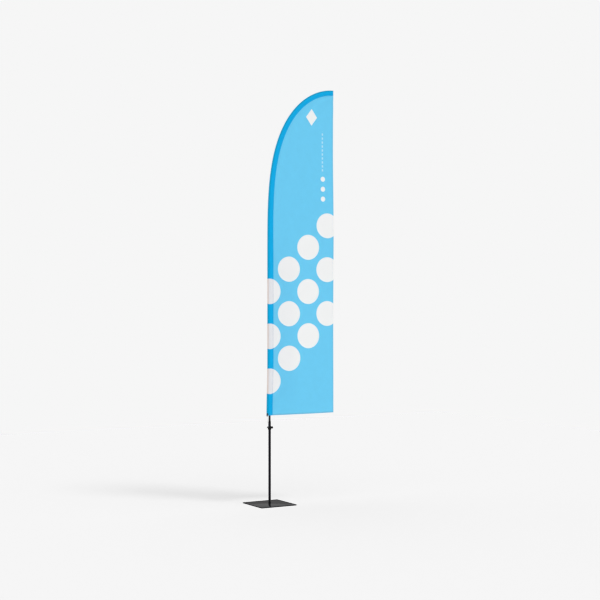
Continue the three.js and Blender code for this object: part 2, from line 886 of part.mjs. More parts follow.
// The cord's line: out of the eyelet at the back, over its front, straight down and into the lug.
function cordLine() {
  const back = tabThickness / 2 + eyeletFlangeThickness + seatGap + cordTail;
  const front = -(tabThickness / 2);
  const lugBack = lugThickness / 2 + cordTail;
  const lugFront = -(lugThickness / 2);
  const depth = Math.min(front, lugFront) - cordBend;
  const points = [
    [eyeletX, back, eyeletZ],
    [eyeletX, 0, eyeletZ],
    [eyeletX, depth + 0.6 * cordBend, eyeletZ - 0.2 * cordBend],
    [eyeletX, depth, eyeletZ - 1.2 * cordBend],
    [(eyeletX + lugHoleX) / 2, depth, (eyeletZ + lugHoleZ) / 2],
    [lugHoleX, depth, lugHoleZ + 1.2 * cordBend],
    [lugHoleX, depth + 0.6 * cordBend, lugHoleZ + 0.2 * cordBend],
    [lugHoleX, 0, lugHoleZ],
    [lugHoleX, lugBack, lugHoleZ],
  ];
  const vectors = points.map((point) => new THREE.Vector3(...point));
  return new THREE.CatmullRomCurve3(vectors, false, "centripetal");
}

function knotBehind(end) {
  const lump = new THREE.SphereGeometry(knotRadius, 12, 8);
  return lump.translate(end.x, end.y + faceGap + knotRadius, end.z);
}

function buildCord() {
  const line = cordLine();
  const section = new THREE.Shape();
  section.absarc(0, 0, cordRadius, 0, 2 * Math.PI);
  const settings = { steps: cordSteps, extrudePath: line, curveSegments: cordSides / 2 };
  piece("tension_cord", new THREE.ExtrudeGeometry(section, settings), greyElastic);
  piece("upper_knot", knotBehind(line.getPoint(0)), greyElastic);
  piece("lower_knot", knotBehind(line.getPoint(1)), greyElastic);
}

buildBase();
buildSpindle();
buildPole();
buildFlag();
buildClamp();
buildCord();

export default flag;
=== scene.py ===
import math

import bmesh
import bpy
from mathutils import Matrix, Vector, noise


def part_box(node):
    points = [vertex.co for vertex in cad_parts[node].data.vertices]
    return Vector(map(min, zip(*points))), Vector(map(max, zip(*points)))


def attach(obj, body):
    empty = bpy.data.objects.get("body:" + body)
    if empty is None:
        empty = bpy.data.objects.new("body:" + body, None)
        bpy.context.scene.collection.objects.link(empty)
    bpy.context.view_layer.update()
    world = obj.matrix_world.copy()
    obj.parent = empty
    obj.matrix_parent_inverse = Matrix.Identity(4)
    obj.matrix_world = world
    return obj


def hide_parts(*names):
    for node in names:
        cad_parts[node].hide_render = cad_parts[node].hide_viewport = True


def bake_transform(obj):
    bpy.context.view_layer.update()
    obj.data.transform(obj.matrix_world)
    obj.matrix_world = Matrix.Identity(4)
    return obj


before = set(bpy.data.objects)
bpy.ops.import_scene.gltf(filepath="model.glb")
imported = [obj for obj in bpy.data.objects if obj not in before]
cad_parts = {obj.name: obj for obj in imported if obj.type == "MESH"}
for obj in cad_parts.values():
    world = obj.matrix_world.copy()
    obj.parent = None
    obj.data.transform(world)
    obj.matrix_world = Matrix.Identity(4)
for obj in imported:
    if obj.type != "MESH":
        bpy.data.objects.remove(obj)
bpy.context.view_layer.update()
scene = bpy.context.scene

# ---- Camera ----
# A level camera with a long lens, a little above head height, 13.4 m from the flag and
# 30 degrees to the left of its front.

camera = bpy.data.objects.new("camera", bpy.data.cameras.new("camera"))
camera.location = (-6.479, -11.713, 2.056)
camera.rotation_euler = (math.radians(90), 0, math.radians(-30.26))
camera.data.lens = 79.7
scene.collection.objects.link(camera)
scene.camera = camera

# ---- Elastic cord ----
# A 3 mm shock cord: rubber strands in a braided polyester cover. It runs from the flag's corner
# eyelet to the clamp's lug, and an overhand knot behind each hole holds it taut.


class Signal:
    """A value or colour on its way between shader nodes. Arithmetic on it adds Math nodes."""

    def __init__(self, tree, socket):
        self.tree = tree
        self.socket = socket

    def node(self, kind, sockets, output=0, **settings):
        """Adds a node of any kind: its settings first, then its sockets' values or links."""
        added = self.tree.nodes.new(kind)
        for name, value in settings.items():
            setattr(added, name, value)
        for name, value in sockets.items():
            if isinstance(value, Signal):
                self.tree.links.new(value.socket, added.inputs[name])
            else:
                added.inputs[name].default_value = value
        return Signal(self.tree, added.outputs[output])

    def math(self, operation, *values):
        sockets = dict(enumerate(values))
        return self.node("ShaderNodeMath", sockets, operation=operation)

    def __add__(self, other):
        return self.math("ADD", self, other)

    def __sub__(self, other):
        return self.math("SUBTRACT", self, other)

    def __rsub__(self, other):
        return self.math("SUBTRACT", other, self)

    def __mul__(self, other):
        return self.math("MULTIPLY", self, other)

    __radd__ = __add__
    __rmul__ = __mul__

    def absolute(self):
        return self.math("ABSOLUTE", self)

    def larger(self, other):
        return self.math("MAXIMUM", self, other)

    def smaller(self, other):
        return self.math("MINIMUM", self, other)

    def wave(self, pitch):
        """A sine along this signal, from 0 to 1, once every pitch."""
        return self.math("SINE", self * (2 * math.pi / pitch)) * 0.5 + 0.5

    def step(self, low, high):
        """0 below low and 1 above high, or the other way round where low is the higher."""
        sockets = {"Value": self, "From Min": low, "From Max": high}
        return self.node("ShaderNodeMapRange", sockets, clamp=True)

    def axes(self):
        """The X, Y and Z of a place or a direction."""
        return [self.node("ShaderNodeSeparateXYZ", {"Vector": self}, axis) for axis in range(3)]

    def stretched(self, x, y, z):
        """A place with each axis multiplied, for noise that is longer one way."""
        sockets = {"Vector": self, "Scale": (x, y, z)}
        return self.node("ShaderNodeMapping", sockets)

    def cloud(self, scale, detail=2.0, roughness=0.5):
        """Soft noise round 0.5, with features of about 1 / scale metres."""
        sockets = {"Vector": self, "Scale": scale, "Detail": detail, "Roughness": roughness}
        return self.node("ShaderNodeTexNoise", sockets)

    def blend(self, colour, other):
        """Mixes two colours, with this signal as the share of the other."""
        sockets = {0: self, 6: colour, 7: other}
        return self.node("ShaderNodeMix", sockets, 2, data_type="RGBA")


def tone(red, green, blue):
    """A colour that was matched on a 0 to 255 scale."""
    linear = [((c / 255 + 0.055) / 1.055) ** 2.4 for c in (red, green, blue)]
    return (*linear, 1.0)


class Finish:
    """A surface finish: one Principled shader, its constants, and what varies over it."""

    def __init__(self, name, **constants):
        self.material = bpy.data.materials.new(name)
        self.material.use_nodes = True
        self.tree = self.material.node_tree
        self.shader = self.tree.nodes["Principled BSDF"]
        for name, value in constants.items():
            socket = name.replace("_", " ").title().replace("Ior", "IOR")
            self.shader.inputs[socket].default_value = value
        coordinates = self.tree.nodes.new("ShaderNodeTexCoord")
        self.place = Signal(self.tree, coordinates.outputs["Object"])
        self.along = Signal(self.tree, coordinates.outputs["UV"])

    def drive(self, socket, signal):
        """Links what varies over the surface to a socket of the shader."""
        self.tree.links.new(signal.socket, self.shader.inputs[socket])

    def emboss(self, height, depth, strength=1.0):
        """Relief that is depth metres high."""
        sockets = {"Height": height, "Distance": depth, "Strength": strength}
        self.drive("Normal", self.place.node("ShaderNodeBump", sockets))


def loose(bm, name="work"):
    """An object of a bmesh, with nothing else set yet."""
    mesh = bpy.data.meshes.new(name)
    bm.to_mesh(mesh)
    bm.free()
    thing = bpy.data.objects.new(name, mesh)
    scene.collection.objects.link(thing)
    return thing


def made(name, bm, finish, body=None, crease=35):
    """Makes a piece of a bmesh, smooth but for edges that turn more than crease degrees."""
    thing = loose(bm, name)
    thing.data.shade_smooth()
    thing.data.set_sharp_from_angle(angle=math.radians(crease))
    thing.data.materials.append(finish.material)
    if body:
        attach(thing, body)
    return thing


def laid_out(columns, rows, place, wrapped=False):
    """A sheet or tube of columns by rows, its point at shares u and v put at place(u, v)."""
    bm = bmesh.new()
    bm.loops.layers.uv.new("UVMap")
    bmesh.ops.create_grid(bm, x_segments=columns, y_segments=rows, size=0.5, calc_uvs=True)
    for vert in bm.verts:
        vert.co = place(vert.co.x + 0.5, vert.co.y + 0.5)
    if wrapped:
        bmesh.ops.remove_doubles(bm, verts=bm.verts, dist=1e-6)
    bmesh.ops.recalc_face_normals(bm, faces=bm.faces)
    return bm


def smooth_line(knots, steps):
    """Points on a smooth line through the knots, steps of them from each knot to the next."""
    knots = [2 * knots[0] - knots[1], *knots, 2 * knots[-1] - knots[-2]]
    line = []
    for a, b, c, d in zip(knots, knots[1:], knots[2:], knots[3:]):
        at = [0.0]
        for one, other in ((a, b), (b, c), (c, d)):
            at.append(at[-1] + math.sqrt((other - one).length))
        for step in range(steps):
            t = at[1] + (at[2] - at[1]) * step / steps
            ab = a.lerp(b, (t - at[0]) / (at[1] - at[0]))
            bc = b.lerp(c, (t - at[1]) / (at[2] - at[1]))
            cd = c.lerp(d, (t - at[2]) / (at[3] - at[2]))
            abc = ab.lerp(bc, (t - at[0]) / (at[2] - at[0]))
            bcd = bc.lerp(cd, (t - at[1]) / (at[3] - at[1]))
            line.append(abc.lerp(bcd, (t - at[1]) / (at[2] - at[1])))
    line.append(knots[-2].copy())
    return line


def tube_along(line, radius, sides, side=Vector((1, 0, 0)), ring=False):
    """A round tube along a line of points, closed at its ends or joined into a ring."""
    last = len(line) - 1

    def place(u, v):
        i = round(v * last)
        before = line[i - 1] if i else (line[last - 1] if ring else line[0])
        after = line[i + 1] if i < last else (line[1] if ring else line[last])
        ahead = (after - before).normalized()
        across = (side - side.dot(ahead) * ahead).normalized()
        up = ahead.cross(across)
        turn = 2 * math.pi * u
        return line[i] + radius * (math.cos(turn) * across + math.sin(turn) * up)

    bm = laid_out(sides, last, place, wrapped=True)
    if not ring:
        bmesh.ops.holes_fill(bm, edges=[e for e in bm.edges if e.is_boundary], sides=0)
        bmesh.ops.recalc_face_normals(bm, faces=bm.faces)
    return bm


cord_radius = 0.0015
cord_knots = [
    Vector((-0.0260, 0.00635, 0.8960)),
    Vector((-0.0260, 0.0000, 0.8960)),
    Vector((-0.0260, -0.0054, 0.8948)),
    Vector((-0.0260, -0.0090, 0.8888)),
    Vector((-0.0224, -0.0090, 0.8350)),
    Vector((-0.0188, -0.0090, 0.7812)),
    Vector((-0.0188, -0.0054, 0.7752)),
    Vector((-0.0188, 0.0000, 0.7740)),
    Vector((-0.0188, 0.0070, 0.7740)),
]
cord_line = smooth_line(cord_knots, 5)

braid_sides = 6
braid_turns = 46
braid = Finish("braided_cord", roughness=0.8, sheen_weight=0.2)
strand_u, strand_v, _ = braid.along.axes()
left_lay = (strand_u * braid_sides + strand_v * braid_turns).wave(1)
right_lay = (strand_u * braid_sides - strand_v * braid_turns).wave(1)
strands = left_lay.larger(right_lay)
fibre = braid.place.cloud(2600, 2)
braid.emboss(strands + fibre * 0.3, 0.0003)
# Painted light and shade: the cover is painted lighter on the strands' crests and darker in the
# grooves between them, and its fibres vary at random.
painted_shading = strands.step(0.55, 0.95) * 0.7 + fibre * 0.3
braid.drive("Base Color", painted_shading.blend(tone(160, 162, 166), tone(228, 229, 231)))

cord = made("tension_cord_braid", tube_along(cord_line, cord_radius, 12), braid)
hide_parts("tension_cord")
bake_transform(cord)

knot_spread = 0.00064
knot_points = 48
knot_offset = 0.0037
knot_tail = 0.009
knot_droop = 0.004


def knot_behind(name, hole_end, body, node, lean):
    """A tight overhand knot on the far side of a hole, and its heat-sealed tail."""
    middle = hole_end + Vector((0, knot_offset, 0))
    loop = []
    for step in range(knot_points + 1):
        t = 2 * math.pi * step / knot_points
        x = math.sin(t) + 2 * math.sin(2 * t)
        z = math.cos(t) - 2 * math.cos(2 * t)
        loop.append(middle + knot_spread * Vector((x, -1.5 * math.sin(3 * t), z)))
    bm = tube_along(loop, cord_radius * 0.92, 10, Vector((0.1, 1, 0.2)), ring=True)
    tail = [
        middle + Vector((lean * share**2, knot_tail * share, -knot_droop * share**2))
        for share in (0, 0.25, 0.5, 0.75, 1)
    ]
    stub = loose(tube_along(tail, cord_radius, 10))
    bm.from_mesh(stub.data)
    bpy.data.objects.remove(stub)
    knot = made(name, bm, braid, body)
    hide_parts(node)
    return knot


knots = [
    knot_behind("upper_cord_knot", cord_line[0], "mast", "upper_knot", -0.002),
    knot_behind("lower_cord_knot", cord_line[-1], "collar", "lower_knot", 0.001),
]

# ---- Base plate ----
# A 400 mm square of 5 mm steel plate with rounded corners and broken edges, powder coated in
# satin black. It is heavy enough to stand on its own.

plate_side = 0.4
plate_thickness = 0.005
plate_corner = 0.005
plate_edge = 0.0007
wear_start = 0.0009
wear_full = 0.0002

coat = Finish("black_powder_coat", roughness=0.15, specular_ior_level=0.06)
grain = coat.place.cloud(1500, 3)
blotch = coat.place.cloud(9, 4, 0.6)
plate_x, plate_y, _ = coat.place.axes()
from_middle = plate_x.absolute().larger(plate_y.absolute())
at_edge = from_middle.step(plate_side / 2 - wear_start, plate_side / 2 - wear_full)
rubbed = at_edge * coat.place.cloud(60, 4).step(0.52, 0.7)
black = blotch.step(0.3, 0.7).blend(tone(22, 22, 23), tone(30, 30, 32))
coat.drive("Base Color", (rubbed * 0.6).blend(black, tone(128, 128, 130)))
coat.drive("Roughness", blotch * 0.07 + grain * 0.03 + 0.05)
coat.emboss(grain, 0.00005, 0.4)

bm = bmesh.new()
bmesh.ops.create_cube(bm, size=1)
bmesh.ops.scale(bm, vec=(plate_side, plate_side, plate_thickness), verts=bm.verts)
bmesh.ops.translate(bm, vec=(0, 0, plate_thickness / 2), verts=bm.verts)
upright = [e for e in bm.edges if abs(e.verts[0].co.z - e.verts[1].co.z) > plate_thickness / 2]
bmesh.ops.bevel(
    bm, geom=upright, offset=plate_corner, segments=6, affect="EDGES", profile=0.5, material=-1
)
rims = [e for e in bm.edges if abs(e.calc_face_angle(0)) > math.radians(60)]
bmesh.ops.bevel(
    bm, geom=rims, offset=plate_edge, segments=2, affect="EDGES", profile=0.5, material=-1
)
plate = made("base_plate_coated", bm, coat, "base")
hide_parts("base_plate")

# ---- Bearing housing and what is in it ----
# A turned steel bush, screwed down on the plate's welded stud and tightened by two spanner
# flats. It holds the ball bearing that lets the flag turn in the wind, kept in by a spring clip.


def turned(profile, segments=64):
    """A solid of revolution about the Z axis, from a closed profile of radius and height."""
    bm = bmesh.new()
    verts = [bm.verts.new((radius, 0, height)) for radius, height in profile]
    edges = [bm.edges.new((a, b)) for a, b in zip(verts, verts[1:] + verts[:1])]
    bmesh.ops.spin(
        bm,
        geom=verts + edges,
        cent=(0, 0, 0),
        axis=(0, 0, 1),
        angle=2 * math.pi,
        steps=segments,
        use_merge=True,
    )
    bmesh.ops.remove_doubles(bm, verts=bm.verts, dist=1e-6)
    bmesh.ops.dissolve_degenerate(bm, edges=bm.edges, dist=1e-6)
    bmesh.ops.recalc_face_normals(bm, faces=bm.faces)
    return bm


def settled(thing):
    """A bmesh of an object with its modifiers applied. The object is removed."""
    bm = bmesh.new()
    bm.from_object(thing, bpy.context.evaluated_depsgraph_get())
    bpy.data.objects.remove(thing)
    return bm


def combined(bm, others, operation):
    """Joins closed shapes to another one, or cuts them out of it."""
    base = loose(bm)
    tools = [loose(other) for other in others]
    for tool in tools:
        step = base.modifiers.new("combine", "BOOLEAN")
        step.solver = "EXACT"
        step.operation = operation
        step.object = tool
    result = settled(base)
    for tool in tools:
        bpy.data.objects.remove(tool)
    # Many-sided faces are split and any slit is filled, so that the result is closed.
    bmesh.ops.dissolve_degenerate(result, edges=result.edges, dist=1e-6)
    bmesh.ops.triangulate(result, faces=[f for f in result.faces if len(f.verts) > 4])
    gaps = [e for e in result.edges if e.is_boundary]
    bmesh.ops.holes_fill(result, edges=gaps, sides=4)
    return result


def block(low, high):
    """A plain block between two opposite corners."""
    bm = bmesh.new()
    bmesh.ops.create_cube(bm, size=1)
    size = Vector(high) - Vector(low)
    middle = (Vector(high) + Vector(low)) / 2
    bmesh.ops.scale(bm, vec=size, verts=bm.verts)
    bmesh.ops.translate(bm, vec=middle, verts=bm.verts)
    return bm


housing_radius = 0.012
housing_top = 0.025225
housing_chamfer = 0.0006
weld_relief = 0.0083
weld_relief_top = 0.0073
stud_bore = 0.00615
shoulder_bore = 0.007
shoulder_bottom = 0.015
seat_radius = 0.00965
seat_bottom = 0.018
flat_depth = 0.00125
flat_bottom = 0.007
flat_top = 0.013
housing = turned(
    [
        (weld_relief, plate_thickness),
        (housing_radius - housing_chamfer, plate_thickness),
        (housing_radius, plate_thickness + housing_chamfer),
        (housing_radius, housing_top - housing_chamfer),
        (housing_radius - housing_chamfer, housing_top),
        (seat_radius, housing_top),
        (seat_radius, seat_bottom),
        (shoulder_bore, seat_bottom),
        (shoulder_bore, shoulder_bottom),
        (stud_bore, shoulder_bottom),
        (stud_bore, weld_relief_top),
    ]
)
across_flat = housing_radius - flat_depth
cutter = 0.02
flats = [
    block((-cutter, across_flat, flat_bottom), (cutter, cutter, flat_top)),
    block((-cutter, -cutter, flat_bottom), (cutter, -across_flat, flat_top)),
]
housing = combined(housing, flats, "DIFFERENCE")
housing = made("bearing_housing_turned", housing, coat, "base", crease=25)
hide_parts("bearing_housing")


def steel_finish(name, dark, light, low, high):
    """Turned or ground steel: fine rings round the axis, with small stains."""
    steel = Finish(name, metallic=1.0, roughness=0.3)
    rings = steel.place.stretched(120, 120, 9000).cloud(1, 2)
    stain = steel.place.cloud(180, 4, 0.6)
    steel.drive("Base Color", stain.step(0.35, 0.75).blend(light, dark))
    steel.drive("Roughness", rings * (high - low) + stain * 0.1 + low)
    steel.emboss(rings, 0.00004, 0.6)
    return steel


bright = steel_finish("bright_zinc_steel", tone(150, 152, 156), tone(196, 198, 202), 0.16, 0.34)
blued = steel_finish("blued_spring_steel", tone(44, 44, 48), tone(70, 70, 76), 0.3, 0.5)


def refinished(finish, *nodes):
    """Gives CAD nodes whose shape is right their real surface."""
    for name in nodes:
        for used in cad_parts[name].material_slots:
            used.material = finish.material


refinished(bright, "base_stud", "bearing_outer_ring", "bearing_inner_ring", "ball_cage")
refinished(blued, "housing_circlip", "spindle_circlip")

# ---- Spindle ----
# A steel pin turned from one bar and blackened: a flange that the pole's foot stands on, and a
# 14 mm pin with two grooves whose rubber rings keep the pole from rattling.

flange_bottom = 0.025925
flange_top = 0.029925
pin_radius = 0.007
pin_top = 0.189925
pin_chamfer = 0.0015
ring_heights = (0.035, 0.13)
groove = 0.0011
journal_radius = 0.00485
journal_bottom = 0.01632
journal_top = 0.02308
clip_groove_radius = 0.00425
clip_groove = (0.0166, 0.01788)
neck_radius = 0.0063
flange_chamfer = 0.0005
fillet = 0.0004
shape = [
    (0, journal_bottom),
    (journal_radius, journal_bottom),
    (journal_radius, clip_groove[0]),
    (clip_groove_radius, clip_groove[0]),
    (clip_groove_radius, clip_groove[1]),
    (journal_radius, clip_groove[1]),
    (journal_radius, journal_top),
    (neck_radius, journal_top),
    (neck_radius, flange_bottom),
    (housing_radius - flange_chamfer, flange_bottom),
    (housing_radius, flange_bottom + flange_chamfer),
    (housing_radius, flange_top - flange_chamfer),
    (housing_radius - flange_chamfer, flange_top),
    (pin_radius + fillet, flange_top),
    (pin_radius, flange_top + fillet),
]
for ring_height in ring_heights:
    middle = flange_top + ring_height
    shape.append((pin_radius, middle - groove))
    shape.append((pin_radius - groove, middle - groove))
    shape.append((pin_radius - groove, middle + groove))
    shape.append((pin_radius, middle + groove))
shape += [(pin_radius, pin_top - pin_chamfer), (pin_radius - pin_chamfer, pin_top), (0, pin_top)]
oxidised = steel_finish("blackened_steel", tone(20, 20, 22), tone(42, 42, 46), 0.2, 0.4)
pin = made("spindle_turned", turned(shape), oxidised, "spindle", crease=25)
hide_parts("spindle")

rubber = Finish("black_rubber", roughness=0.75)
bloom = rubber.place.cloud(900, 3)
rubber.drive("Base Color", bloom.step(0.4, 0.8).blend(tone(24, 24, 24), tone(44, 44, 45)))
rubber.emboss(bloom, 0.0001, 0.5)
refinished(rubber, "spindle_grip_ring_1", "spindle_grip_ring_2")

# ---- Pole ----
# Four sections that plug together: two of black anodised aluminium tube and two of black glass
# fibre that taper and bend. A moulded foot socket slides over the spindle's pin.

pole_radius = 0.01
pole_wall = 0.0015
pole_foot = 0.034325
first_joint = 1.16
bend_start = 2.45
bend_length = 2.11
tip_radius = 0.003
pole_end = 4.5507

anodised = Finish("black_anodised_aluminium", roughness=0.35, specular_ior_level=0.07)
drawn_lines_and_painted_shade = anodised.place.stretched(2500, 2500, 12).cloud(1, 2)
handling = anodised.place.stretched(1, 1, 0.35).cloud(60, 5, 0.65)
anodised.drive("Base Color", handling.step(0.45, 0.8).blend(tone(12, 12, 13), tone(24, 24, 26)))
anodised.drive("Roughness", drawn_lines_and_painted_shade * 0.12 + handling * 0.18 + 0.16)
anodised.emboss(drawn_lines_and_painted_shade, 0.00005, 0.5)

composite = Finish("black_glass_fibre", roughness=0.4, specular_ior_level=0.1)
turn_x, turn_y, turn_z = composite.place.axes()
winding_pitch = 0.006
wound = (turn_z + turn_x * 0.4 + turn_y * 0.4).wave(winding_pitch)
composite.drive("Base Color", wound.blend(tone(24, 24, 25), tone(34, 34, 36)))
composite.drive("Roughness", composite.place.cloud(300, 3) * 0.2 + wound * 0.08 + 0.28)
composite.emboss(wound, 0.00006, 0.6)

plastic = Finish("black_moulded_nylon", roughness=0.5, specular_ior_level=0.1)
spark = plastic.place.cloud(3500, 2)
cool = plastic.place.cloud(140, 4)
plastic.drive("Base Color", cool.step(0.35, 0.75).blend(tone(14, 14, 15), tone(25, 25, 27)))
plastic.drive("Roughness", cool * 0.2 + spark * 0.15 + 0.25)
plastic.emboss(spark, 0.0001, 0.7)

foot_bore = 0.0075
foot_play = 0.00015
foot_sleeve = pole_radius - pole_wall - foot_play
foot_bottom = 0.030125
foot_rim_top = 0.034125
foot_rim = 0.0105
foot_length = 0.17
foot_top = foot_bottom + foot_length
foot_lead_in = 0.0006
foot_round = 0.0004
foot = turned(
    [
        (foot_bore + foot_lead_in, foot_bottom),
        (foot_rim - foot_lead_in, foot_bottom),
        (foot_rim, foot_bottom + foot_lead_in),
        (foot_rim, foot_rim_top - foot_round),
        (foot_rim - foot_round, foot_rim_top),
        (foot_sleeve, foot_rim_top),
        (foot_sleeve, foot_top - 0.0005),
        (foot_sleeve - foot_round, foot_top),
        (foot_bore, foot_top),
        (foot_bore, foot_bottom + foot_lead_in),
    ]
)
foot = made("foot_socket_moulded", foot, plastic, "mast", crease=25)
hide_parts("foot_socket")

tube_edge = 0.0003
lowest = turned(
    [
        (pole_radius - pole_wall, pole_foot),
        (pole_radius - tube_edge, pole_foot),
        (pole_radius, pole_foot + tube_edge),
        (pole_radius, first_joint - tube_edge),
        (pole_radius - tube_edge, first_joint),
        (pole_radius - pole_wall, first_joint),
    ]
)
lowest = made("pole_section_1_tube", lowest, anodised, "mast", crease=25)
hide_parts("pole_section_1")
refinished(anodised, "pole_section_2", "pole_ferrule_1", "pole_ferrule_2", "pole_ferrule_3")
refinished(anodised, "joint_rod_1", "joint_rod_2")
refinished(composite, "pole_section_3", "pole_section_4")
refinished(plastic, "pole_tip_cap")

# ---- Printed cloth ----
# Knitted flag polyester of 110 g, printed from one side. The sleeve is a deeper blue than the
# panel, and a field of white discs runs over both. The print shows through on the back.

flag_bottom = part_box("flag_panel")[0][2]
free_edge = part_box("flag_panel")[1][0]
hem_width = 0.014
disc_radius = 0.128
disc_pitch = 0.2263
disc_first = (0.678, 2.822)
small_disc_radius = 0.026
small_disc_across = 0.626
small_disc_heights = (3.301, 3.198, 3.096)
lozenge_place = (0.492, 3.93)
lozenge_half = 0.066
lozenge_length = 0.78
dash_place = (0.623, 3.587)
dash_half_width = 0.008
dash_row_half = 0.205
dash_pitch = 0.041
dash_share = 0.62
ink_edge = 0.0006
panel_blue = tone(110, 204, 243)
sleeve_blue = tone(13, 171, 230)
panel_white = tone(241, 242, 242)
# The sleeve's white is painted darker than the panel's, as painted shade for the round, doubled
# sleeve with the pole behind it.
sleeve_white_painted_shade = tone(227, 228, 232)
dash_tint = tone(176, 224, 248)
# Painted shade for the sleeve's outer fold, where the round sleeve turns away from the light.
fold_painted_shade = (0.9, 0.76, 0.68, 1)
# Painted shade beside the seam, standing in for the shade of soft folds: its tone, and how far
# across and up it reaches.
seam_painted_shade = (0.965, 0.965, 0.975, 1)
seam_shade_across = (0.34, 0.25)
seam_shade_top = (2.7, 2.35)
seam_shade_foot = (0.93, 1.15)
rib_pitch = 0.00085
course_pitch = 0.0012


def printed(name, ground, unprinted, crease=None):
    """Cloth with its print. Painted shade darkens it along a fold where there is a crease, and a
    little beside the seam where there is not.
    """
    cloth = Finish(name, roughness=0.85, specular_ior_level=0.08)
    x, _, z = cloth.place.axes()
    flattened = {0: cloth.place, 1: (1, 0, 1)}
    front = cloth.place.node("ShaderNodeVectorMath", flattened, operation="MULTIPLY")

    def from_point(across, up):
        sockets = {0: front, 1: (across, 0, up)}
        return cloth.place.node("ShaderNodeVectorMath", sockets, "Value", operation="DISTANCE")

    nearest = None
    for column in range(4):
        for row in range(3):
            across = disc_first[0] - disc_pitch * column
            up = disc_first[1] - disc_pitch * (column + 2 * row)
            away = from_point(across, up) - disc_radius
            nearest = away if nearest is None else nearest.smaller(away)
    for up in small_disc_heights:
        nearest = nearest.smaller(from_point(small_disc_across, up) - small_disc_radius)
    # A plain lozenge and a row of plain dashes stand where a flag carries its owner's mark.
    lozenge_x = (x - lozenge_place[0]).absolute()
    lozenge_z = (z - lozenge_place[1]).absolute()
    nearest = nearest.smaller(lozenge_x + lozenge_z * lozenge_length - lozenge_half)
    dash_side = (x - dash_place[0]).absolute() - dash_half_width
    dash_end = (z - dash_place[1]).absolute() - dash_row_half
    dash_gap = dash_share - z.wave(dash_pitch)
    dash = dash_side.larger(dash_end).larger(dash_gap * -0.02)
    bare = nearest.step(ink_edge, -ink_edge)
    dashed = dash.step(ink_edge, -ink_edge)

    # Where the hem doubles the cloth, less light comes through: the ink is painted deeper there, as
    # painted shade.
    side = x.step(free_edge - hem_width, free_edge - hem_width + 0.001)
    foot = z.step(flag_bottom + hem_width, flag_bottom + hem_width - 0.001)
    doubled = side.larger(foot)
    pale = (*(0.975 * c for c in ground[:3]), 1)
    full = (*(1.01 * c for c in ground[:3]), 1)
    hem_painted_shade = (*(0.9 * c + 0.02 for c in ground[:3]), 1)
    patchy = cloth.place.cloud(14, 4, 0.6)
    mottled = doubled.blend(patchy.step(0.3, 0.7).blend(pale, full), hem_painted_shade)
    inked = bare.blend(dashed.blend(mottled, dash_tint), unprinted)
    if crease:
        # Painted shade along the sleeve's outer fold.
        across = cloth.along.axes()[0]
        painted_shading = (across - 0.5).absolute().step(crease, crease / 2)
        shades = {0: painted_shading, 6: inked, 7: fold_painted_shade}
    else:
        # Painted shade in a band beside the seam, above the panel's foot and below its upper part.
        drawn_lines_and_painted_shade = x.step(*seam_shade_across) * z.step(*seam_shade_top) * z.step(*seam_shade_foot)
        shades = {0: drawn_lines_and_painted_shade, 6: inked, 7: seam_painted_shade}
    inked = cloth.place.node("ShaderNodeMix", shades, 2, data_type="RGBA", blend_type="MULTIPLY")
    # The ink is paler on the back, where it has come through the cloth.
    facing = cloth.tree.nodes.new("ShaderNodeNewGeometry")
    normal = Signal(cloth.tree, facing.outputs["Normal"]).axes()
    behind = normal[1].step(0.2, 0.6)
    cloth.drive("Base Color", (behind * 0.14).blend(inked, unprinted))
    ribs = x.wave(rib_pitch)
    courses = (z + x * 0.12).wave(course_pitch)
    yarn = ribs * courses
    cloth.emboss(yarn + cloth.place.cloud(700, 2) * 0.5, 0.00012, 0.5)
    cloth.drive("Roughness", patchy * 0.12 + yarn * 0.06 + 0.72)
    return cloth


panel_cloth = printed("printed_panel_polyester", panel_blue, panel_white)
sleeve_cloth = printed("printed_sleeve_polyester", sleeve_blue, sleeve_white_painted_shade, crease=0.13)

# ---- Sleeve ----
# A strip of the same cloth folded lengthwise round the pole, from the outer fold to the seam
# where the panel is sewn between its two layers. The pole's spring keeps it tight.

cloth_thickness = 0.00045
flag_end = bend_start + bend_length
sleeve_slack = 0.003
fold_offset = 0.026
seam_offset_low = 0.044
seam_offset_tip = 0.027
seam_allowance = 0.009
seam_half = 0.00075
tail_swing = 0.01
tail_height = 0.56
tip_lean = math.pi / 2
bend_power = 2.72
bend_steps = 400


def pole_lean(s):
    """How far the pole leans over at a length s up it, past the start of its bend."""
    return tip_lean * ((s - bend_start) / bend_length) ** bend_power


pole_line = [(bend_start, 0.0, bend_start, 0.0)]
line_step = bend_length / bend_steps
for i in range(bend_steps + 1):
    s, x, z, _ = pole_line[-1]
    lean = pole_lean(s + line_step / 2)
    x += line_step * math.sin(lean)
    z += line_step * math.cos(lean)
    pole_line.append((s + line_step, x, z, pole_lean(s + line_step)))


def beside_pole(s, across):
    """The point at a length s up the pole and a distance across from its middle, at y = 0."""
    if s <= bend_start:
        return Vector((across, 0, s))
    share, i = math.modf((s - bend_start) / line_step)
    low, high = pole_line[int(i)], pole_line[min(int(i) + 1, len(pole_line) - 1)]
    x, z, lean = (low[k] + (high[k] - low[k]) * share for k in (1, 2, 3))
    return Vector((x + across * math.cos(lean), 0, z - across * math.sin(lean)))


def tail_shift(s):
    """How far the cord pulls the flag's lower end back."""
    share = min(1.0, max(0.0, 1 - (s - flag_bottom) / tail_height))
    return -tail_swing * share * share * (3 - 2 * share)


def seam_offset(s):
    """From the pole's middle to the seam between the sleeve and the panel."""
    share = max(0.0, s - bend_start) / bend_length
    return seam_offset_low + (seam_offset_tip - seam_offset_low) * share + tail_shift(s)


def pole_outside(s):
    """The pole's radius, which shrinks from the first joint to the tip."""
    share = max(0.0, s - first_joint) / (pole_end - first_joint)
    return pole_radius + (tip_radius - pole_radius) * min(1.0, share)


fold_inset = 0.0004
round_start = 0.29
round_end = 0.71


